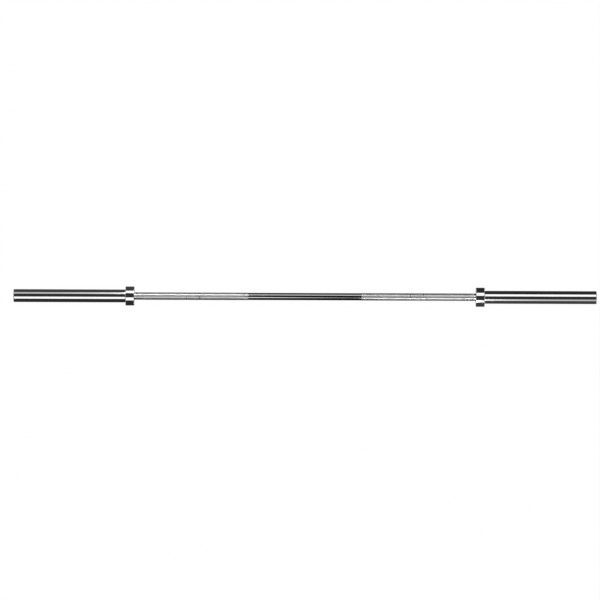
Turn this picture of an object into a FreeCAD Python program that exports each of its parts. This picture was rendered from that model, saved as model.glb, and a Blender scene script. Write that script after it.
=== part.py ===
"""Olympic barbell: a one-piece knurled shaft with a free-turning sleeve on each end.

Millimetres. The bar lies along X with its middle at the origin, and +Z is up.
Each end is worked out for the right side, where "along" is the distance from the bar's middle.
The left end is the right end turned half a turn about Z.
"""

import FreeCAD
import Part

import math
import os

# Shaft
GRIP_SPAN = 1310.0            # bare shaft between the two collars
SHAFT_DIAMETER = 28.0         # smooth steel at the middle
KNURL_RISE = 0.3              # knurl crests above the smooth steel, on the radius
CENTRE_SMOOTH = 434.0         # length without knurl at the middle
INNER_MARK_SPAN = 810.0       # centre to centre of the inner pair of ring marks
OUTER_MARK_SPAN = 910.0       # and of the outer pair
RING_MARK_WIDTH = 5.0
COLLAR_SIDE_SMOOTH = 6.0      # length without knurl beside each collar
SHOULDER_HEIGHT = 1.5         # step from the grip down to the journal, on the radius
SHOULDER_ENTRY = 3.5          # shoulder beyond the dust seal
JOURNAL_TAIL = 4.0            # journal beyond its circlip
JOURNAL_EDGE = 1.2            # chamfer on the journal's end

# Sleeve tube
SLEEVE_DIAMETER = 50.0        # takes plates with a two-inch hole
LOADABLE_LENGTH = 430.0       # from the collar's face to the sleeve's end
SLEEVE_EDGE = 2.0             # chamfer on the sleeve's outer end
SLEEVE_MOUTH_EDGE = 0.8       # chamfer inside the sleeve's outer end
NECK_STEP = 1.5               # neck under the collar, below the sleeve's surface
THRUST_LEDGE = 2.0            # ledge that the outer thrust washer runs on
CAP_LEDGE = 1.0               # ledge that the end cap sits on
RELIEF_WIDTH = 2.5            # turned relief beside the collar
RELIEF_DEPTH = 0.6
RELIEF_COVER = 1.0            # part of the relief that lies under the collar

# Collar
COLLAR_DIAMETER = 74.0
COLLAR_LENGTH = 34.0
COLLAR_EDGE = 1.5             # chamfer on both rims
COLLAR_SPIGOT = 4.0           # length of full-size sleeve that enters the collar
SPIGOT_CLEARANCE = 0.05       # on the radius

# Dust seal
SEAL_WIDTH = 4.0
SEAL_INSET = 0.6              # below the sleeve's inner end face
SEAL_LEDGE = 1.0              # seal's rim beyond the bearing seat, on the radius
SEAL_CLEARANCE = 0.2          # between the seal and the shaft, on the radius
SEAL_EDGE = 0.5

# Needle bearings
ROLLER_DIAMETER = 2.5
ROLLER_COUNT = 20
ROLLER_CLEARANCE = 0.02       # against journal and cup, on the radius
CUP_WALL = 0.96
CUP_LIP = 0.8                 # thickness of the lips that keep the cage in
CUP_LIP_GAP = 0.6             # between the lips and the journal
BEARING_LENGTH = 20.0
CAGE_WALL = 0.9
CAGE_BAND = 1.2               # cage beyond the pockets at each end
CAGE_SIDE_CLEARANCE = 0.3     # between the cage and the cup's lips
POCKET_CLEARANCE = 0.15       # round each roller

# Bushings and thrust washers
BUSHING_LENGTH = 25.0
BUSHING_CLEARANCE = 0.06      # running fit on the journal, on the radius
BUSHING_EDGE = 0.6
WASHER_THICKNESS = 1.5
WASHER_CLEARANCE = 0.3        # inside and outside each washer, on the radius
END_FLOAT = 0.2               # play of the sleeve at each thrust face

# Circlip on the journal
SHAFT_CLIP_THICKNESS = 1.2
SHAFT_CLIP_GROOVE = 0.55      # depth
SHAFT_CLIP_WIDE = 3.0         # band opposite the gap
SHAFT_CLIP_NARROW = 1.8       # band beside the lugs
SHAFT_CLIP_LUG = 2.0          # radius of a lug

# Circlip over the end cap
CAP_CLIP_THICKNESS = 1.5
CAP_CLIP_GROOVE = 0.9
CAP_CLIP_WIDE = 3.2
CAP_CLIP_NARROW = 2.0
CAP_CLIP_LUG = 2.1
CAP_CLIP_INSET = 3.0          # from the sleeve's end to the circlip

# Both circlips
CLIP_SIDE_CLEARANCE = 0.05    # in the groove, at each side
CLIP_GAP = 5.0                # opening between the lugs
CLIP_HOLE = 1.0               # radius of the plier holes

# End cap
CAP_THICKNESS = 5.0
CAP_CLEARANCE = 0.05          # in its seat, on the radius
CAP_EDGE = 0.6
CAP_DISH_DEPTH = 1.0
CAP_RIM = 5.5                 # flat rim round the dish
CAP_GAP = 4.0                 # between the journal's end and the cap

OVERRUN = 1.0                 # how far cutting shapes pass the surfaces that they cut

# Radii that follow from the sizes above
SHAFT_R = SHAFT_DIAMETER / 2
KNURL_R = SHAFT_R + KNURL_RISE
JOURNAL_R = SHAFT_R - SHOULDER_HEIGHT
ROLLER_R = ROLLER_DIAMETER / 2
PITCH_R = JOURNAL_R + ROLLER_CLEARANCE + ROLLER_R
RACEWAY_R = PITCH_R + ROLLER_R + ROLLER_CLEARANCE
SEAT_R = RACEWAY_R + CUP_WALL
SEAL_R = SEAT_R + SEAL_LEDGE
STOP_R = SEAT_R + THRUST_LEDGE
CAP_SEAT_R = STOP_R + CAP_LEDGE
CAP_GROOVE_R = CAP_SEAT_R + CAP_CLIP_GROOVE
SHAFT_GROOVE_R = JOURNAL_R - SHAFT_CLIP_GROOVE
SLEEVE_R = SLEEVE_DIAMETER / 2
RELIEF_R = SLEEVE_R - RELIEF_DEPTH
NECK_R = SLEEVE_R - NECK_STEP
COLLAR_R = COLLAR_DIAMETER / 2
SPIGOT_R = SLEEVE_R + SPIGOT_CLEARANCE

# Stations along the right end, from the collar's inner face outwards
COLLAR_INNER = GRIP_SPAN / 2
COLLAR_OUTER = COLLAR_INNER + COLLAR_LENGTH
SPIGOT_START = COLLAR_OUTER - COLLAR_SPIGOT
RELIEF_START = COLLAR_OUTER - RELIEF_COVER
RELIEF_END = COLLAR_OUTER + RELIEF_WIDTH
SEAL_START = COLLAR_INNER + SEAL_INSET
SEAL_END = SEAL_START + SEAL_WIDTH
SHOULDER = SEAL_END + SHOULDER_ENTRY
INNER_BUSHING_START = SHOULDER + WASHER_THICKNESS + END_FLOAT
INNER_BEARING_START = INNER_BUSHING_START + BUSHING_LENGTH

# Stations at the right end, from the sleeve's outer end inwards
SLEEVE_END = COLLAR_OUTER + LOADABLE_LENGTH
CAP_GROOVE_END = SLEEVE_END - CAP_CLIP_INSET
CAP_GROOVE_START = CAP_GROOVE_END - CAP_CLIP_THICKNESS - 2 * CLIP_SIDE_CLEARANCE
CAP_SEAT = CAP_GROOVE_START - CAP_THICKNESS
JOURNAL_END = CAP_SEAT - CAP_GAP
SHAFT_GROOVE_END = JOURNAL_END - JOURNAL_TAIL
SHAFT_GROOVE_START = SHAFT_GROOVE_END - SHAFT_CLIP_THICKNESS - 2 * CLIP_SIDE_CLEARANCE
OUTER_WASHER_START = SHAFT_GROOVE_START - WASHER_THICKNESS
OUTER_LEDGE = OUTER_WASHER_START - END_FLOAT
OUTER_BUSHING_START = OUTER_LEDGE - BUSHING_LENGTH
OUTER_BEARING_START = OUTER_BUSHING_START - BEARING_LENGTH

ORIGIN = FreeCAD.Vector(0, 0, 0)
AXIS = FreeCAD.Vector(1, 0, 0)
UP = FreeCAD.Vector(0, 0, 1)
FULL_TURN = 360.0
HALF_TURN = 180.0


def turned(outline):
    """Solid turned about the bar's axis from a closed outline of (along, radius) points."""
    points = [FreeCAD.Vector(along, 0, radius) for along, radius in outline]
    wire = Part.makePolygon(points + points[:1])
    return Part.Face(wire).revolve(ORIGIN, AXIS, FULL_TURN)


def disc(radius, start, thickness, y=0, z=0):
    """Round plate or pin whose axis runs along the bar."""
    return Part.makeCylinder(radius, thickness, FreeCAD.Vector(start, y, z), AXIS)


def ring(inner_r, outer_r, start, end, edge=0):
    """Plain ring, with a chamfer on the four rims if edge is given."""
    if not edge:
        return turned([(start, inner_r), (start, outer_r), (end, outer_r), (end, inner_r)])
    return turned([
        (start + edge, inner_r), (start, inner_r + edge),
        (start, outer_r - edge), (start + edge, outer_r),
        (end - edge, outer_r), (end, outer_r - edge),
        (end, inner_r + edge), (end - edge, inner_r),
    ])


def knurled_stretches():
    """(start, end) of each knurled stretch on the right half of the shaft."""
    half_mark = RING_MARK_WIDTH / 2
    edges = [CENTRE_SMOOTH / 2]
    for span in (INNER_MARK_SPAN, OUTER_MARK_SPAN):
        edges += [span / 2 - half_mark, span / 2 + half_mark]
    edges.append(COLLAR_INNER - COLLAR_SIDE_SMOOTH)
    return list(zip(edges[::2], edges[1::2]))


def shaft():
    """The bar itself: knurled grip, a shoulder at each end, and the journals inside the sleeves."""
    half = []
    for start, end in knurled_stretches():
        half += [
            (start, SHAFT_R), (start + KNURL_RISE, KNURL_R),
            (end - KNURL_RISE, KNURL_R), (end, SHAFT_R),
        ]
    half += [
        (SHOULDER, SHAFT_R), (SHOULDER, JOURNAL_R),
        (SHAFT_GROOVE_START, JOURNAL_R), (SHAFT_GROOVE_START, SHAFT_GROOVE_R),
        (SHAFT_GROOVE_END, SHAFT_GROOVE_R), (SHAFT_GROOVE_END, JOURNAL_R),
        (JOURNAL_END - JOURNAL_EDGE, JOURNAL_R), (JOURNAL_END, JOURNAL_R - JOURNAL_EDGE),
        (JOURNAL_END, 0),
    ]
    mirrored = [(-along, radius) for along, radius in reversed(half)]
    return turned(mirrored + half)


def sleeve_tube():
    """Tube that carries the plates, bored for the bearings and stepped for the thrust parts and cap."""
    return turned([
        (COLLAR_INNER, NECK_R), (SPIGOT_START, NECK_R), (SPIGOT_START, SLEEVE_R),
        (RELIEF_START, SLEEVE_R), (RELIEF_START, RELIEF_R),
        (RELIEF_END, RELIEF_R), (RELIEF_END, SLEEVE_R),
        (SLEEVE_END - SLEEVE_EDGE, SLEEVE_R), (SLEEVE_END, SLEEVE_R - SLEEVE_EDGE),
        (SLEEVE_END, CAP_SEAT_R + SLEEVE_MOUTH_EDGE), (SLEEVE_END - SLEEVE_MOUTH_EDGE, CAP_SEAT_R),
        (CAP_GROOVE_END, CAP_SEAT_R), (CAP_GROOVE_END, CAP_GROOVE_R),
        (CAP_GROOVE_START, CAP_GROOVE_R), (CAP_GROOVE_START, CAP_SEAT_R),
        (CAP_SEAT, CAP_SEAT_R), (CAP_SEAT, STOP_R),
        (OUTER_LEDGE, STOP_R), (OUTER_LEDGE, SEAT_R),
        (SEAL_END, SEAT_R), (SEAL_END, SEAL_R), (COLLAR_INNER, SEAL_R),
    ])


def collar():
    """Flange ring pressed over the sleeve's neck, which the first plate rests against."""
    return turned([
        (COLLAR_INNER, NECK_R), (COLLAR_INNER, COLLAR_R - COLLAR_EDGE),
        (COLLAR_INNER + COLLAR_EDGE, COLLAR_R), (COLLAR_OUTER - COLLAR_EDGE, COLLAR_R),
        (COLLAR_OUTER, COLLAR_R - COLLAR_EDGE), (COLLAR_OUTER, SPIGOT_R),
        (SPIGOT_START, SPIGOT_R), (SPIGOT_START, NECK_R),
    ])


def dust_seal():
    """Rubber ring in the sleeve's mouth, round the shaft."""
    return ring(SHAFT_R + SEAL_CLEARANCE, SEAL_R, SEAL_START, SEAL_END, SEAL_EDGE)


def bushing(start):
    """Bronze bearing bush pressed into the sleeve."""
    return ring(JOURNAL_R + BUSHING_CLEARANCE, SEAT_R, start, start + BUSHING_LENGTH, BUSHING_EDGE)


def thrust_washer(start, outer_r):
    """Hardened washer round the journal that takes the sleeve's end thrust."""
    return ring(
        JOURNAL_R + WASHER_CLEARANCE, outer_r - WASHER_CLEARANCE, start, start + WASHER_THICKNESS
    )


def bearing_cup(start):
    """Drawn outer race of a needle bearing, with a lip at each end."""
    lip_r = JOURNAL_R + CUP_LIP_GAP
    end = start + BEARING_LENGTH
    return turned([
        (start, lip_r), (start, SEAT_R), (end, SEAT_R), (end, lip_r),
        (end - CUP_LIP, lip_r), (end - CUP_LIP, RACEWAY_R),
        (start + CUP_LIP, RACEWAY_R), (start + CUP_LIP, lip_r),
    ])


def cage_span(start):
    """Ends of the cage inside the cup that begins at start."""
    inset = CUP_LIP + CAGE_SIDE_CLEARANCE
    return start + inset, start + BEARING_LENGTH - inset


def bearing_cage(start):
    """Ring with one pocket for each roller."""
    low, high = cage_span(start)
    cage = ring(PITCH_R - CAGE_WALL / 2, PITCH_R + CAGE_WALL / 2, low, high)
    width = ROLLER_DIAMETER + 2 * POCKET_CLEARANCE
    length = high - low - 2 * CAGE_BAND
    depth = CAGE_WALL + 2 * OVERRUN
    corner = FreeCAD.Vector(low + CAGE_BAND, -width / 2, PITCH_R - depth / 2)
    pockets = []
    for number in range(ROLLER_COUNT):
        pocket = Part.makeBox(length, width, depth, corner)
        pocket.rotate(ORIGIN, AXIS, FULL_TURN * number / ROLLER_COUNT)
        pockets.append(pocket)
    return cage.cut(pockets)


def bearing_rollers(start):
    """The needle rollers of one bearing, as separate solids."""
    low, high = cage_span(start)
    inset = CAGE_BAND + POCKET_CLEARANCE
    length = high - low - 2 * inset
    rollers = []
    for number in range(ROLLER_COUNT):
        roller = disc(ROLLER_R, low + inset, length, z=PITCH_R)
        roller.rotate(ORIGIN, AXIS, FULL_TURN * number / ROLLER_COUNT)
        rollers.append(roller)
    return Part.makeCompound(rollers)


def lug_places(lug_r, reach):
    """(y, z) of a circlip's two lugs, either side of a gap on the +Z side."""
    y = CLIP_GAP / 2 + lug_r
    z = math.sqrt(reach ** 2 - y ** 2)
    return [(-y, z), (y, z)]


def opened(clip, start, thickness, reach, places):
    """Circlip with its gap on the +Z side and its plier holes cut."""
    corner = FreeCAD.Vector(start - OVERRUN, -CLIP_GAP / 2, 0)
    gap = Part.makeBox(thickness + 2 * OVERRUN, CLIP_GAP, reach + OVERRUN, corner)
    holes = [
        disc(CLIP_HOLE, start - OVERRUN, thickness + 2 * OVERRUN, y, z) for y, z in places
    ]
    return clip.cut([gap] + holes).removeSplitter()


def shaft_circlip():
    """External circlip in the journal's groove, which keeps the sleeve on."""
    start = SHAFT_GROOVE_START + CLIP_SIDE_CLEARANCE
    thickness = SHAFT_CLIP_THICKNESS
    band_r = SHAFT_GROOVE_R + (SHAFT_CLIP_WIDE + SHAFT_CLIP_NARROW) / 2
    shift = (SHAFT_CLIP_WIDE - SHAFT_CLIP_NARROW) / 2
    places = lug_places(SHAFT_CLIP_LUG, SHAFT_GROOVE_R + SHAFT_CLIP_LUG)
    lugs = [disc(SHAFT_CLIP_LUG, start, thickness, y, z) for y, z in places]
    clip = disc(band_r, start, thickness, z=-shift).fuse(lugs)
    clip = clip.cut(disc(SHAFT_GROOVE_R, start - OVERRUN, thickness + 2 * OVERRUN))
    return opened(clip, start, thickness, band_r + SHAFT_CLIP_LUG, places)


def cap_circlip():
    """Internal circlip in the sleeve's mouth, which keeps the end cap in. Its gap faces down."""
    start = CAP_GROOVE_START + CLIP_SIDE_CLEARANCE
    thickness = CAP_CLIP_THICKNESS
    hole_r = CAP_GROOVE_R - (CAP_CLIP_WIDE + CAP_CLIP_NARROW) / 2
    shift = (CAP_CLIP_WIDE - CAP_CLIP_NARROW) / 2
    places = lug_places(CAP_CLIP_LUG, CAP_GROOVE_R - CAP_CLIP_GROOVE - CAP_CLIP_LUG)
    lugs = [disc(CAP_CLIP_LUG, start, thickness, y, z) for y, z in places]
    band = disc(CAP_GROOVE_R, start, thickness)
    band = band.cut(disc(hole_r, start - OVERRUN, thickness + 2 * OVERRUN, z=shift))
    clip = opened(band.fuse(lugs), start, thickness, CAP_GROOVE_R, places)
    clip.rotate(ORIGIN, AXIS, HALF_TURN)
    return clip


def end_cap():
    """Plug that closes the sleeve, with a shallow bare dish on its face."""
    radius = CAP_SEAT_R - CAP_CLEARANCE
    end = CAP_SEAT + CAP_THICKNESS
    dish_r = radius - CAP_RIM
    return turned([
        (CAP_SEAT, 0), (CAP_SEAT, radius),
        (end - CAP_EDGE, radius), (end, radius - CAP_EDGE),
        (end, dish_r), (end - CAP_DISH_DEPTH, dish_r - CAP_DISH_DEPTH), (end - CAP_DISH_DEPTH, 0),
    ])


def right_end():
    """Every piece on the right end, by name."""
    return {
        "sleeve_tube": sleeve_tube(),
        "collar": collar(),
        "dust_seal": dust_seal(),
        "inner_thrust_washer": thrust_washer(SHOULDER, SEAT_R),
        "inner_bushing": bushing(INNER_BUSHING_START),
        "inner_bearing_cup": bearing_cup(INNER_BEARING_START),
        "inner_bearing_cage": bearing_cage(INNER_BEARING_START),
        "inner_bearing_rollers": bearing_rollers(INNER_BEARING_START),
        "outer_bearing_cup": bearing_cup(OUTER_BEARING_START),
        "outer_bearing_cage": bearing_cage(OUTER_BEARING_START),
        "outer_bearing_rollers": bearing_rollers(OUTER_BEARING_START),
        "outer_bushing": bushing(OUTER_BUSHING_START),
        "outer_thrust_washer": thrust_washer(OUTER_WASHER_START, STOP_R),
        "shaft_circlip": shaft_circlip(),
        "end_cap": end_cap(),
        "cap_circlip": cap_circlip(),
    }


def save(name, shape):
    """Writes one piece to its own file."""
    shape.exportStep(os.path.join("parts", name + ".step"))


os.makedirs("parts", exist_ok=True)
save("shaft", shaft())
for name, piece in right_end().items():
    save("right_" + name, piece)
    piece.rotate(ORIGIN, UP, HALF_TURN)
    save("left_" + name, piece)
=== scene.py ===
"""Olympic barbell: the looks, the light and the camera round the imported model.

Metres. The bar lies along X with its middle at the origin, and +Z is up.
Each end is made for the right side, where "along" is the distance from the bar's middle.
The left end is the right end turned half a turn about Z.
"""

import math

import bmesh
import bpy
from mathutils import Matrix


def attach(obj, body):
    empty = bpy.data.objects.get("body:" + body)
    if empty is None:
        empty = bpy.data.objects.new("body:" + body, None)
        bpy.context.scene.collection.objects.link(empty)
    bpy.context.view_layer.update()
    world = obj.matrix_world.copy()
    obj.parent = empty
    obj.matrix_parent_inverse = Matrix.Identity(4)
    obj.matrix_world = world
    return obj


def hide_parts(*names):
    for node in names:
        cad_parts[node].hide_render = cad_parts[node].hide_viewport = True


# Shaft
SHAFT_R = 0.014
JOURNAL_R = 0.0125
JOURNAL_EDGE = 0.0012
CLIP_GROOVE_R = 0.01195
CENTRE_SMOOTH_END = 0.217     # half the smooth middle
INNER_MARK = 0.405            # middle of the inner ring mark
OUTER_MARK = 0.455
MARK_HALF_WIDTH = 0.0025
GRIP_END = 0.649              # where the outer knurl stops, short of the collar
SHOULDER = 0.6631
CLIP_GROOVE_START = 1.1001
CLIP_GROOVE_END = 1.1014
JOURNAL_END = 1.1054
SHAFT_ROUNDING = 0.00012

# Knurl
KNURL_COUNT = 64              # diamonds round the bar
KNURL_CREST_R = 0.0143
KNURL_VALLEY_R = 0.01424
KNURL_SEAT_R = 0.0135         # the shaft's own steel under the knurl
KNURL_LENGTH = 0.00243        # one diamond, tip to tip along the bar
KNURL_FLANK = 0.00012         # width of the slope from a crest to a valley

# Sleeve tube
SLEEVE_R = 0.025
NECK_R = 0.0235
RELIEF_R = 0.0244
SEAT_R = 0.016
SEAL_SEAT_R = 0.017
STOP_R = 0.018
CAP_SEAT_R = 0.019
CAP_GROOVE_R = 0.0199
SLEEVE_EDGE = 0.002
SLEEVE_MOUTH_EDGE = 0.0008
SLEEVE_ROUNDING = 0.00025
SPIGOT_START = 0.685
RELIEF_START = 0.688
RELIEF_END = 0.6915
OUTER_LEDGE = 1.0984
CAP_SEAT = 1.1094
CAP_GROOVE_START = 1.1144
CAP_GROOVE_END = 1.116
SLEEVE_END = 1.119

# Collar
COLLAR_R = 0.037
COLLAR_EDGE = 0.0015
COLLAR_INNER = 0.655
COLLAR_OUTER = 0.689
SPIGOT_HOLE_R = 0.02505
COLLAR_ROUNDING = 0.00025

# Dust seal
SEAL_HOLE_R = 0.0142
SEAL_START = 0.6556
SEAL_END = 0.6596
SEAL_EDGE = 0.0005
SEAL_LIP_R = 0.0148           # wiping lip round the shaft
SEAL_GROOVE_R = 0.0158        # outer side of the groove behind the lip
SEAL_GROOVE_DEPTH = 0.0009
SEAL_ROUNDING = 0.00015

# End cap
CAP_R = 0.01895
CAP_EDGE = 0.0006
CAP_DISH_R = 0.01345
CAP_DISH_DEPTH = 0.001
CAP_ROUNDING = 0.0002

# Mesh
SHAFT_SIDES = 144
SLEEVE_SIDES = 176
COLLAR_SIDES = 192
ROUNDING_STEPS = 3
WELD = 0.000002

# Depth of the fine relief in the materials
TURNING_LINE_DEPTH = 0.00002
KNURL_GRAIN_DEPTH = 0.00002
RUBBER_SKIN_DEPTH = 0.00005
CAP_GRAIN_DEPTH = 0.00006
METAL_GRAIN_DEPTH = 0.00003

# Studio
FLOOR_HALF = 60.0
FLOOR_DROP = 0.0372           # the collars stand just clear of the floor
ROOM_SHARE = 0.6              # how white the room is in the chrome and as light
CARD_R = 6.0                  # from the bar to the cards
CARD_STEPS = 12

# Places on the bar where the cards' glow changes
SWITCH = 0.25                 # the ends' cards take over here
AT_GRIP = 0.34
INSIDE_MARKS = 0.385
MARKS_START = 0.395
MARKS_END = 0.465
OUTSIDE_MARKS = 0.475
OUTER_GRIP = 0.64
AT_COLLAR = 0.65
INNER_SLEEVE = 0.75
OUTER_SLEEVE = 0.95
CARD_END = 1.2
STEEP_SPLIT = 1.4             # out to the splits, cards beyond an end serve the other half's knurl
MIDDLE_SPLIT = 1.9
FRONT_SPLIT = 2.1
SIDE_END = 3.8
FAR_END = 45.0

# Cards hang between two angles, in degrees above the camera's side of the bar.
# Middle and end cards have stops of (place, glow), side cards a split and one glow, far cards one glow.
# End, side and far cards are for the left half, and the same cards turned over are for the right half.
# The ends' upper strip is brightest along the satin knurl, and dimmer at the smooth ring marks
MIDDLE_CARDS = [
    ("over", 60, 155, [(-SWITCH, 0.04), (SWITCH, 0.04)]),
    ("upper_strip", 40, 60, [(-SWITCH, 1.05), (SWITCH, 1.05)]),
    ("front", -24, 40, [(-SWITCH, 0.015), (SWITCH, 0.015)]),
    ("lower_strip", -46, -24, [(-SWITCH, 1.4), (0, 0.65), (SWITCH, 0.14)]),
    ("under", -155, -46, [(-SWITCH, 0.005), (SWITCH, 0.005)]),
]
END_CARDS = [
    ("over", 64.5, 155, [(-CARD_END, 0.06), (-SWITCH, 0.06)]),
    ("upper_strip", 35.5, 64.5, [
        (-CARD_END, 0.62), (-OUTER_SLEEVE, 0.68), (-INNER_SLEEVE, 1.0), (-AT_COLLAR, 1.3), (-OUTER_GRIP, 9.0),
        (-OUTSIDE_MARKS, 9.0), (-MARKS_END, 2.0), (-MARKS_START, 2.0), (-INSIDE_MARKS, 8.5),
        (-AT_GRIP, 8.0), (-SWITCH, 0.4)]),
    ("front", -17.5, 35.5, [(-CARD_END, 0.035), (-SWITCH, 0.035)]),
    ("lower_strip", -54, -17.5, [
        (-CARD_END, 1.38), (-AT_COLLAR, 1.38), (-OUTER_GRIP, 1.4), (-MARKS_END, 1.0), (-AT_GRIP, 0.15),
        (-SWITCH, 0.25)]),
    ("under", -155, -54, [(-CARD_END, 0.03), (-SWITCH, 0.03)]),
]
SIDE_CARDS = [
    ("back", 146, 168, CARD_END, 0.1),
    ("back_strip", 115, 146, CARD_END, 1.0),
    ("over", 100, 115, CARD_END, 0.4),
    ("top", 70, 100, STEEP_SPLIT, 0.8),
    ("upper", 45, 70, MIDDLE_SPLIT, 1.05),
    ("upper_front", 20, 45, MIDDLE_SPLIT, 1.05),
    ("high_front", 0, 20, FRONT_SPLIT, 1.05),
    ("low_front", -20, 0, FRONT_SPLIT, 0.7),
    ("lower_front", -45, -20, MIDDLE_SPLIT, 0.35),
    ("lower", -70, -45, MIDDLE_SPLIT, 0.05),
    ("bottom", -100, -70, STEEP_SPLIT, 0.04),
    ("under", -168, -100, CARD_END, 0.04),
]
FAR_CARDS = [
    ("over", 65, 115, 0.06),
    ("front", -18, 34, 0.035),
    ("back", 146, 198, 0.035),
    ("under", -126, -54, 0.03),
]

# Camera
PICTURE_WIDTH = 2.3033        # what the frame takes in at the bar
LENS_SHARE = 8.0              # focal length over sensor width
SENSOR = 36.0
OFF_RIGHT = 0.0194            # the bar's middle is this far right of the frame's
OFF_UP = 0.01305
ROLL = 0.21                   # degrees, right end lower
CAMERA_DISTANCE = PICTURE_WIDTH * LENS_SHARE
CARD_SPREAD_SHARE = 1 + CARD_R / CAMERA_DISTANCE

FULL_TURN = 2 * math.pi
HALF_TURN = math.pi
QUARTER_TURN = math.pi / 2
ORIGIN = (0, 0, 0)
AXIS = (1, 0, 0)
ACROSS = (0, 1, 0)
UP = (0, 0, 1)

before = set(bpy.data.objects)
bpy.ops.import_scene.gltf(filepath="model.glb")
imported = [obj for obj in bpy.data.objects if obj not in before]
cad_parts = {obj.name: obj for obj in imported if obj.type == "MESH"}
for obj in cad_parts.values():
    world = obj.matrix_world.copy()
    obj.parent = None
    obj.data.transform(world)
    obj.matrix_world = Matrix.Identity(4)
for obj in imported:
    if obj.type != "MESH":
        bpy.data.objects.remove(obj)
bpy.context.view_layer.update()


# Meshes

def turned(outline, rounding, sides, closed=True):
    """Mesh turned about the bar's axis from (along, radius) points, with its corners rounded."""
    bm = bmesh.new()
    points = [bm.verts.new((along, 0, radius)) for along, radius in outline]
    pairs = list(zip(points, points[1:]))
    if closed:
        pairs.append((points[-1], points[0]))
    for pair in pairs:
        bm.edges.new(pair)
    to_round = points if closed else points[1:-1]
    bmesh.ops.bevel(
        bm, geom=to_round, offset=rounding, segments=ROUNDING_STEPS, profile=0.5,
        affect="VERTICES", material=-1, clamp_overlap=True,
    )
    bmesh.ops.spin(
        bm, geom=bm.verts[:] + bm.edges[:], cent=ORIGIN, axis=AXIS, angle=FULL_TURN,
        steps=sides, use_merge=True,
    )
    return bm


def knurl_band(start, end):
    """Ring of flat-topped diamonds between two stations, closed on the inside."""
    rows = 2 * round((end - start) / KNURL_LENGTH)
    bm = bmesh.new()
    bmesh.ops.create_circle(bm, segments=KNURL_COUNT, radius=KNURL_VALLEY_R)
    bmesh.ops.rotate(bm, verts=bm.verts[:], cent=ORIGIN, matrix=turn(QUARTER_TURN, ACROSS))
    bmesh.ops.translate(bm, verts=bm.verts[:], vec=(start, 0, 0))
    bmesh.ops.spin(
        bm, geom=bm.verts[:] + bm.edges[:], cent=ORIGIN, axis=AXIS,
        dvec=((end - start) / rows, 0, 0), angle=rows * HALF_TURN / KNURL_COUNT, steps=rows,
    )
    bmesh.ops.reverse_faces(bm, faces=bm.faces[:])
    rings = [edge for edge in bm.edges if is_round_edge(edge) and len(edge.link_faces) == 2]
    bmesh.ops.triangulate(bm, faces=bm.faces[:], quad_method="SHORT_EDGE")
    bmesh.ops.dissolve_edges(bm, edges=rings)
    bmesh.ops.inset_individual(
        bm, faces=bm.faces[:], thickness=KNURL_FLANK, depth=KNURL_CREST_R - KNURL_VALLEY_R,
        use_even_offset=True,
    )
    rims = [edge for edge in bm.edges if edge.is_boundary]
    lips = bmesh.ops.extrude_edge_only(bm, edges=rims)["geom"]
    seat_share = KNURL_SEAT_R / KNURL_VALLEY_R
    bmesh.ops.scale(
        bm, verts=[part for part in lips if isinstance(part, bmesh.types.BMVert)],
        vec=(1, seat_share, seat_share),
    )
    bmesh.ops.bridge_loops(bm, edges=[edge for edge in bm.edges if edge.is_boundary])
    return bm


def is_round_edge(edge):
    """True for an edge that runs round the bar at one station."""
    one, other = edge.verts
    return abs(one.co.x - other.co.x) < WELD


def turn(angle, axis):
    """Rotation matrix."""
    return Matrix.Rotation(angle, 3, axis)


def piece(name, bm, material, body, replaced=(), smooth=True):
    """Makes a finished mesh a named piece that rides on a body."""
    bmesh.ops.remove_doubles(bm, verts=bm.verts[:], dist=WELD)
    bmesh.ops.recalc_face_normals(bm, faces=bm.faces[:])
    for face in bm.faces:
        face.smooth = smooth
    mesh = bpy.data.meshes.new(name)
    bm.to_mesh(mesh)
    bm.free()
    mesh.materials.append(material)
    made = bpy.data.objects.new(name, mesh)
    bpy.context.scene.collection.objects.link(made)
    if smooth:
        made.modifiers.new("even_shading", "WEIGHTED_NORMAL")
    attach(made, body)
    if replaced:
        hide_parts(*replaced)


def on_end(bm, end):
    """Turns a mesh made for the right end to the end it is for."""
    if end == "left":
        bmesh.ops.rotate(bm, verts=bm.verts[:], cent=ORIGIN, matrix=turn(HALF_TURN, UP))
    return bm


# Materials

def new_material(name, metallic):
    """Material, its node tree and its shader."""
    material = bpy.data.materials.new(name)
    material.use_nodes = True
    shader = material.node_tree.nodes["Principled BSDF"]
    shader.inputs["Metallic"].default_value = metallic
    return material, material.node_tree, shader


def surface_noise(tree, per_metre, detail):
    """Noise on the piece's own coordinates, with its cells per metre along X, Y and Z."""
    place = tree.nodes.new("ShaderNodeTexCoord")
    mapping = tree.nodes.new("ShaderNodeMapping")
    mapping.inputs["Scale"].default_value = per_metre
    noise = tree.nodes.new("ShaderNodeTexNoise")
    noise.inputs["Scale"].default_value = 1
    noise.inputs["Detail"].default_value = detail
    tree.links.new(place.outputs["Object"], mapping.inputs["Vector"])
    tree.links.new(mapping.outputs["Vector"], noise.inputs["Vector"])
    return noise.outputs["Fac"]


def ranged(tree, value, from_low, from_high, to_low, to_high):
    """Value carried from one range to another."""
    node = tree.nodes.new("ShaderNodeMapRange")
    for name, number in (
        ("From Min", from_low), ("From Max", from_high), ("To Min", to_low), ("To Max", to_high),
    ):
        node.inputs[name].default_value = number
    tree.links.new(value, node.inputs["Value"])
    return node.outputs["Result"]


def blended(tree, share, low, high):
    """Colour between two colours."""
    node = tree.nodes.new("ShaderNodeMix")
    node.data_type = "RGBA"
    node.inputs["A"].default_value = (*low, 1)
    node.inputs["B"].default_value = (*high, 1)
    tree.links.new(share, node.inputs["Factor"])
    return node.outputs["Result"]


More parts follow.
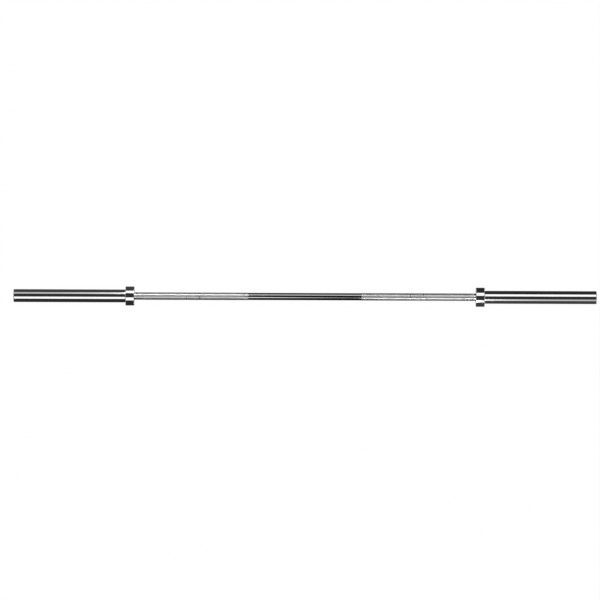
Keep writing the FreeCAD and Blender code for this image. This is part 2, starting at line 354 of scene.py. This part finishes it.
def bumped(tree, shader, height, strength, depth):
    """Fine relief on a shader, and its node."""
    node = tree.nodes.new("ShaderNodeBump")
    node.inputs["Strength"].default_value = strength
    node.inputs["Distance"].default_value = depth
    tree.links.new(height, node.inputs["Height"])
    tree.links.new(node.outputs["Normal"], shader.inputs["Normal"])
    return node


def chrome_material():
    """Bright chrome on turned steel, with faint turning lines and handling smudges."""
    material, tree, shader = new_material("polished_chrome", 1)
    smudges = surface_noise(tree, (28, 60, 60), 5)
    tree.links.new(ranged(tree, smudges, 0.35, 0.7, 0.025, 0.06), shader.inputs["Roughness"])
    tone = surface_noise(tree, (9, 30, 30), 2)
    colour = blended(tree, tone, (0.715, 0.715, 0.727), (0.765, 0.765, 0.772))
    tree.links.new(colour, shader.inputs["Base Color"])
    lines = surface_noise(tree, (3200, 30, 30), 2)
    bumped(tree, shader, lines, 0.06, TURNING_LINE_DEPTH)
    return material


def vector_step(tree, operation, value):
    """Vector maths node that works on a value."""
    node = tree.nodes.new("ShaderNodeVectorMath")
    node.operation = operation
    tree.links.new(value, node.inputs[0])
    return node


def round_tops(tree, relief, own_normal, outward, height):
    """Shades the knurl's flat tops as parts of one round bar, and fades to the slopes' own shading below."""
    mix = tree.nodes.new("ShaderNodeMix")
    mix.data_type = "VECTOR"
    to_world = tree.nodes.new("ShaderNodeVectorTransform")
    to_world.vector_type = "NORMAL"
    tree.links.new(ranged(tree, height, 0.55, 0.7, 0, 1), mix.inputs["Factor"])
    tree.links.new(own_normal, mix.inputs["A"])
    tree.links.new(vector_step(tree, "NORMALIZE", outward).outputs["Vector"], mix.inputs["B"])
    tree.links.new(mix.outputs["Result"], to_world.inputs["Vector"])
    tree.links.new(to_world.outputs["Vector"], relief.inputs["Normal"])


def knurl_material():
    """Chrome on rolled knurl: satin on the tops, duller in the grooves, and darker there through painted
    shade in its colour.
    """
    material, tree, shader = new_material("knurl_chrome", 1)
    place = tree.nodes.new("ShaderNodeTexCoord")
    outward = vector_step(tree, "MULTIPLY", place.outputs["Object"])
    outward.inputs[1].default_value = (0, 1, 1)
    radius = vector_step(tree, "LENGTH", outward.outputs["Vector"]).outputs["Value"]
    height = ranged(tree, radius, KNURL_VALLEY_R, KNURL_CREST_R, 0, 1)
    # painted shade: the base colour darkens from the crests down into the grooves
    colour = blended(tree, height, (0.64, 0.64, 0.65), (0.78, 0.78, 0.787))
    tree.links.new(colour, shader.inputs["Base Color"])
    tree.links.new(ranged(tree, height, 0, 1, 0.36, 0.28), shader.inputs["Roughness"])
    grain = surface_noise(tree, (5200, 5200, 5200), 2)
    relief = bumped(tree, shader, grain, 0.03, KNURL_GRAIN_DEPTH)
    round_tops(tree, relief, place.outputs["Normal"], outward.outputs["Vector"], height)
    return material


def rubber_material():
    """Matte black rubber with a fine uneven skin."""
    material, tree, shader = new_material("seal_rubber", 0)
    skin = surface_noise(tree, (1800, 1800, 1800), 4)
    tree.links.new(ranged(tree, skin, 0.3, 0.7, 0.6, 0.8), shader.inputs["Roughness"])
    dust = surface_noise(tree, (320, 320, 320), 3)
    colour = blended(tree, dust, (0.022, 0.022, 0.022), (0.042, 0.041, 0.04))
    tree.links.new(colour, shader.inputs["Base Color"])
    bumped(tree, shader, skin, 0.25, RUBBER_SKIN_DEPTH)
    return material


def cap_material():
    """Black moulding with a fine spark-eroded grain."""
    material, tree, shader = new_material("cap_moulding", 0)
    grain = surface_noise(tree, (2600, 2600, 2600), 3)
    tree.links.new(ranged(tree, grain, 0.3, 0.7, 0.42, 0.58), shader.inputs["Roughness"])
    tone = surface_noise(tree, (160, 160, 160), 3)
    colour = blended(tree, tone, (0.028, 0.028, 0.03), (0.042, 0.042, 0.044))
    tree.links.new(colour, shader.inputs["Base Color"])
    bumped(tree, shader, grain, 0.3, CAP_GRAIN_DEPTH)
    return material


def metal_material(name, low, high, roughness, per_metre, strength):
    """Bare or treated metal: two close tones, uneven roughness and a worked surface."""
    material, tree, shader = new_material(name, 1)
    tone = surface_noise(tree, (220, 220, 220), 4)
    tree.links.new(blended(tree, tone, low, high), shader.inputs["Base Color"])
    worked = surface_noise(tree, per_metre, 3)
    tree.links.new(ranged(tree, worked, 0.3, 0.7, *roughness), shader.inputs["Roughness"])
    bumped(tree, shader, worked, strength, METAL_GRAIN_DEPTH)
    return material


chrome = chrome_material()
knurled = knurl_material()
rubber = rubber_material()
moulding = cap_material()
CAD_FINISHES = {
    "thrust_washer": metal_material(
        "ground_washer_steel", (0.5, 0.5, 0.51), (0.6, 0.6, 0.61), (0.2, 0.34), (900, 900, 900), 0.1),
    "bushing": metal_material(
        "oiled_bronze", (0.5, 0.31, 0.13), (0.66, 0.44, 0.2), (0.3, 0.5), (2400, 2400, 2400), 0.25),
    "bearing_cup": metal_material(
        "drawn_cup_steel", (0.55, 0.55, 0.57), (0.64, 0.64, 0.66), (0.16, 0.26), (2600, 60, 60), 0.08),
    "bearing_cage": metal_material(
        "pressed_cage_steel", (0.4, 0.4, 0.41), (0.5, 0.5, 0.51), (0.3, 0.45), (700, 700, 700), 0.15),
    "bearing_rollers": metal_material(
        "ground_roller_steel", (0.62, 0.62, 0.64), (0.7, 0.7, 0.72), (0.08, 0.16), (3000, 80, 80), 0.05),
    "circlip": metal_material(
        "phosphated_spring_steel", (0.035, 0.035, 0.036), (0.07, 0.07, 0.07), (0.45, 0.62),
        (1500, 1500, 1500), 0.2),
}


# Pieces

def knurled_stretches():
    """Start and end of each knurled stretch on the right half of the shaft, by name."""
    return {
        "inner_knurl": (CENTRE_SMOOTH_END, INNER_MARK - MARK_HALF_WIDTH),
        "middle_knurl": (INNER_MARK + MARK_HALF_WIDTH, OUTER_MARK - MARK_HALF_WIDTH),
        "outer_knurl": (OUTER_MARK + MARK_HALF_WIDTH, GRIP_END),
    }


def shaft_mesh():
    """Smooth middle, ring marks, seats under the knurl, and the journals inside the sleeves."""
    half = []
    for start, end in knurled_stretches().values():
        half += [(start, SHAFT_R), (start, KNURL_SEAT_R), (end, KNURL_SEAT_R), (end, SHAFT_R)]
    half += [
        (SHOULDER, SHAFT_R), (SHOULDER, JOURNAL_R),
        (CLIP_GROOVE_START, JOURNAL_R), (CLIP_GROOVE_START, CLIP_GROOVE_R),
        (CLIP_GROOVE_END, CLIP_GROOVE_R), (CLIP_GROOVE_END, JOURNAL_R),
        (JOURNAL_END - JOURNAL_EDGE, JOURNAL_R), (JOURNAL_END, JOURNAL_R - JOURNAL_EDGE),
        (JOURNAL_END, 0),
    ]
    mirrored = [(-along, radius) for along, radius in reversed(half)]
    return turned(mirrored + half, SHAFT_ROUNDING, SHAFT_SIDES, closed=False)


def sleeve_mesh():
    """Polished tube with its relief, end chamfers, bore and the steps that hold the cap."""
    return turned([
        (COLLAR_INNER, NECK_R), (SPIGOT_START, NECK_R), (SPIGOT_START, SLEEVE_R),
        (RELIEF_START, SLEEVE_R), (RELIEF_START, RELIEF_R),
        (RELIEF_END, RELIEF_R), (RELIEF_END, SLEEVE_R),
        (SLEEVE_END - SLEEVE_EDGE, SLEEVE_R), (SLEEVE_END, SLEEVE_R - SLEEVE_EDGE),
        (SLEEVE_END, CAP_SEAT_R + SLEEVE_MOUTH_EDGE), (SLEEVE_END - SLEEVE_MOUTH_EDGE, CAP_SEAT_R),
        (CAP_GROOVE_END, CAP_SEAT_R), (CAP_GROOVE_END, CAP_GROOVE_R),
        (CAP_GROOVE_START, CAP_GROOVE_R), (CAP_GROOVE_START, CAP_SEAT_R),
        (CAP_SEAT, CAP_SEAT_R), (CAP_SEAT, STOP_R),
        (OUTER_LEDGE, STOP_R), (OUTER_LEDGE, SEAT_R),
        (SEAL_END, SEAT_R), (SEAL_END, SEAL_SEAT_R), (COLLAR_INNER, SEAL_SEAT_R),
    ], SLEEVE_ROUNDING, SLEEVE_SIDES)


def collar_mesh():
    """Flange ring with a chamfer on both rims."""
    return turned([
        (COLLAR_INNER, NECK_R), (COLLAR_INNER, COLLAR_R - COLLAR_EDGE),
        (COLLAR_INNER + COLLAR_EDGE, COLLAR_R), (COLLAR_OUTER - COLLAR_EDGE, COLLAR_R),
        (COLLAR_OUTER, COLLAR_R - COLLAR_EDGE), (COLLAR_OUTER, SPIGOT_HOLE_R),
        (SPIGOT_START, SPIGOT_HOLE_R), (SPIGOT_START, NECK_R),
    ], COLLAR_ROUNDING, COLLAR_SIDES)


def seal_mesh():
    """Rubber ring with a groove behind its wiping lip."""
    groove_floor = SEAL_START + SEAL_GROOVE_DEPTH
    return turned([
        (SEAL_START + SEAL_EDGE, SEAL_HOLE_R), (SEAL_START, SEAL_HOLE_R + SEAL_EDGE / 2),
        (SEAL_START, SEAL_LIP_R), (groove_floor, SEAL_LIP_R + SEAL_EDGE / 2),
        (groove_floor, SEAL_GROOVE_R - SEAL_EDGE / 2), (SEAL_START, SEAL_GROOVE_R),
        (SEAL_START, SEAL_SEAT_R - SEAL_EDGE), (SEAL_START + SEAL_EDGE, SEAL_SEAT_R),
        (SEAL_END - SEAL_EDGE, SEAL_SEAT_R), (SEAL_END, SEAL_SEAT_R - SEAL_EDGE),
        (SEAL_END, SEAL_HOLE_R + SEAL_EDGE), (SEAL_END - SEAL_EDGE, SEAL_HOLE_R),
    ], SEAL_ROUNDING, SHAFT_SIDES)


def cap_mesh():
    """Moulded plug with a shallow bare dish on its face."""
    end = CAP_GROOVE_START
    return turned([
        (CAP_SEAT, 0), (CAP_SEAT, CAP_R), (end - CAP_EDGE, CAP_R), (end, CAP_R - CAP_EDGE),
        (end, CAP_DISH_R), (end - CAP_DISH_DEPTH, CAP_DISH_R - CAP_DISH_DEPTH), (end - CAP_DISH_DEPTH, 0),
    ], CAP_ROUNDING, SHAFT_SIDES, closed=False)


def make_bar():
    """The shaft and its knurl."""
    piece("turned_shaft", shaft_mesh(), chrome, "shaft", ["shaft"])
    for end in ("left", "right"):
        for name, (start, stop) in knurled_stretches().items():
            band = on_end(knurl_band(start, stop), end)
            piece(end + "_" + name, band, knurled, "shaft", smooth=False)


def make_end(end):
    """Every new piece on one sleeve."""
    body = end + "_sleeve"
    for name, mesh, material, slot, node in (
        ("polished_sleeve", sleeve_mesh(), chrome, "polished_chrome", "sleeve_tube"),
        ("polished_collar", collar_mesh(), chrome, "polished_chrome", "collar"),
        ("lipped_seal", seal_mesh(), rubber, "seal_rubber", "dust_seal"),
        ("moulded_cap", cap_mesh(), moulding, "cap_plastic", "end_cap"),
    ):
        piece(end + "_" + name, on_end(mesh, end), material, body, [end + "_" + node])


def finish_cad_nodes():
    """Gives each node that stays as it is the finish of its kind."""
    for name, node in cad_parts.items():
        for kind, material in CAD_FINISHES.items():
            if name.endswith(kind):
                node.data.materials.clear()
                node.data.materials.append(material)


# Studio

def plain_mesh(name, bm, material):
    """Stage object that is no part of the bar."""
    mesh = bpy.data.meshes.new(name)
    bm.to_mesh(mesh)
    bm.free()
    mesh.materials.append(material)
    made = bpy.data.objects.new(name, mesh)
    bpy.context.scene.collection.objects.link(made)
    return made


def emission_tree(name):
    """Material that only glows, and its emission node."""
    material = bpy.data.materials.new(name)
    material.use_nodes = True
    tree = material.node_tree
    tree.nodes.clear()
    glow = tree.nodes.new("ShaderNodeEmission")
    out = tree.nodes.new("ShaderNodeOutputMaterial")
    tree.links.new(glow.outputs["Emission"], out.inputs["Surface"])
    return material, tree, glow


def card_material(name, stops):
    """Card whose glow follows (along, level) stops."""
    material, tree, glow = emission_tree(name)
    first, last = stops[0][0], stops[-1][0]
    top = max(level for along, level in stops)
    place = tree.nodes.new("ShaderNodeTexCoord")
    split = tree.nodes.new("ShaderNodeSeparateXYZ")
    ramp = tree.nodes.new("ShaderNodeValToRGB")
    marks = ramp.color_ramp.elements
    while len(marks) < len(stops):
        marks.new(1)
    for mark, (along, level) in zip(marks, stops):
        mark.position = (along - first) / (last - first)
        mark.color = (level / top, level / top, level / top, 1)
    tree.links.new(place.outputs["Object"], split.inputs["Vector"])
    tree.links.new(ranged(tree, split.outputs["X"], first, last, 0, 1), ramp.inputs["Fac"])
    tree.links.new(ramp.outputs["Color"], glow.inputs["Color"])
    glow.inputs["Strength"].default_value = top
    return material


def card(name, low, high, stops, turned_over):
    """Card seen only in the chrome, between two angles above the camera's side of the bar, in degrees.

    Its stops are places on the bar, spread to where the camera sees the card in them.
    """
    spread = [(along * CARD_SPREAD_SHARE, level) for along, level in stops]
    bm = bmesh.new()
    bm.edges.new([bm.verts.new((along, -CARD_R, 0)) for along in (spread[0][0], spread[-1][0])])
    bmesh.ops.rotate(bm, verts=bm.verts[:], cent=ORIGIN, matrix=turn(-math.radians(low), AXIS))
    bmesh.ops.spin(
        bm, geom=bm.verts[:] + bm.edges[:], cent=ORIGIN, axis=AXIS,
        angle=-math.radians(high - low), steps=CARD_STEPS,
    )
    made = plain_mesh(name, bm, card_material(name, spread))
    if turned_over:
        made.rotation_euler = (0, HALF_TURN, 0)
    made.visible_camera = False
    made.visible_diffuse = False
    made.visible_shadow = False
    made.visible_transmission = False


def half_cards():
    """Cards of the left half: beside it, beyond both ends for the slopes of its knurl, and far off."""
    cards = [("end_" + name, low, high, stops) for name, low, high, stops in END_CARDS]
    for name, low, high, split, level in SIDE_CARDS:
        cards.append(("side_" + name, low, high, [(-SIDE_END, level), (-split, level)]))
        if split > CARD_END:
            cards.append(("across_" + name, low, high, [(CARD_END, level), (split, level)]))
    for name, low, high, level in FAR_CARDS:
        cards.append(("far_" + name, low, high, [(-FAR_END, level), (-SIDE_END, level)]))
    return cards


def make_cards():
    """Hangs the cards for the middle and the left half, and for the right half the same turned over."""
    for name, low, high, stops in MIDDLE_CARDS:
        card("middle_" + name, low, high, stops, False)
    for name, low, high, stops in half_cards():
        card("left_" + name, low, high, stops, False)
        card("right_" + name, low, high, stops, True)


def make_floor():
    """White floor that keeps the bar's shadow and is left out of the chrome's reflections."""
    material = bpy.data.materials.new("white_floor")
    material.use_nodes = True
    tree = material.node_tree
    tree.nodes.clear()
    matte = tree.nodes.new("ShaderNodeBsdfDiffuse")
    matte.inputs["Color"].default_value = (1, 1, 1, 1)
    glow = tree.nodes.new("ShaderNodeEmission")
    rays = tree.nodes.new("ShaderNodeLightPath")
    half = tree.nodes.new("ShaderNodeMath")
    half.operation = "MULTIPLY"
    half.inputs[1].default_value = 0.5
    both = tree.nodes.new("ShaderNodeMixShader")
    out = tree.nodes.new("ShaderNodeOutputMaterial")
    tree.links.new(rays.outputs["Is Camera Ray"], half.inputs[0])
    tree.links.new(half.outputs["Value"], both.inputs["Fac"])
    tree.links.new(matte.outputs["BSDF"], both.inputs[1])
    tree.links.new(glow.outputs["Emission"], both.inputs[2])
    tree.links.new(both.outputs["Shader"], out.inputs["Surface"])
    bm = bmesh.new()
    bmesh.ops.create_grid(bm, x_segments=1, y_segments=1, size=FLOOR_HALF)
    bmesh.ops.translate(bm, verts=bm.verts[:], vec=(0, 0, -FLOOR_DROP))
    floor = plain_mesh("floor", bm, material)
    floor.visible_glossy = False


def make_world():
    """White room for the camera, and a greyer one in the chrome and as light."""
    world = bpy.data.worlds.new("white_room")
    world.use_nodes = True
    tree = world.node_tree
    room = tree.nodes["Background"]
    room.inputs["Color"].default_value = (1, 1, 1, 1)
    rays = tree.nodes.new("ShaderNodeLightPath")
    tree.links.new(ranged(tree, rays.outputs["Is Camera Ray"], 0, 1, ROOM_SHARE, 1), room.inputs["Strength"])
    bpy.context.scene.world = world


def make_lamp():
    """One large soft lamp above the camera's left."""
    lamp = bpy.data.lights.new("soft_key", "SUN")
    lamp.energy = 1.5
    lamp.angle = math.radians(40)
    key = bpy.data.objects.new("soft_key", lamp)
    key.rotation_euler = (math.radians(30), math.radians(-15), 0)
    key.visible_glossy = False
    bpy.context.scene.collection.objects.link(key)


def make_camera():
    """Long lens square on to the bar, at the photograph's framing."""
    data = bpy.data.cameras.new("camera")
    data.sensor_width = SENSOR
    data.lens = SENSOR * LENS_SHARE
    camera = bpy.data.objects.new("camera", data)
    camera.location = (-OFF_RIGHT, -CAMERA_DISTANCE, -OFF_UP)
    camera.rotation_euler = (QUARTER_TURN, math.radians(-ROLL), 0)
    bpy.context.scene.collection.objects.link(camera)
    bpy.context.scene.camera = camera


make_bar()
for end in ("left", "right"):
    make_end(end)
finish_cad_nodes()
make_floor()
make_cards()
make_world()
make_lamp()
make_camera()
bpy.context.scene.view_settings.view_transform = "Standard"
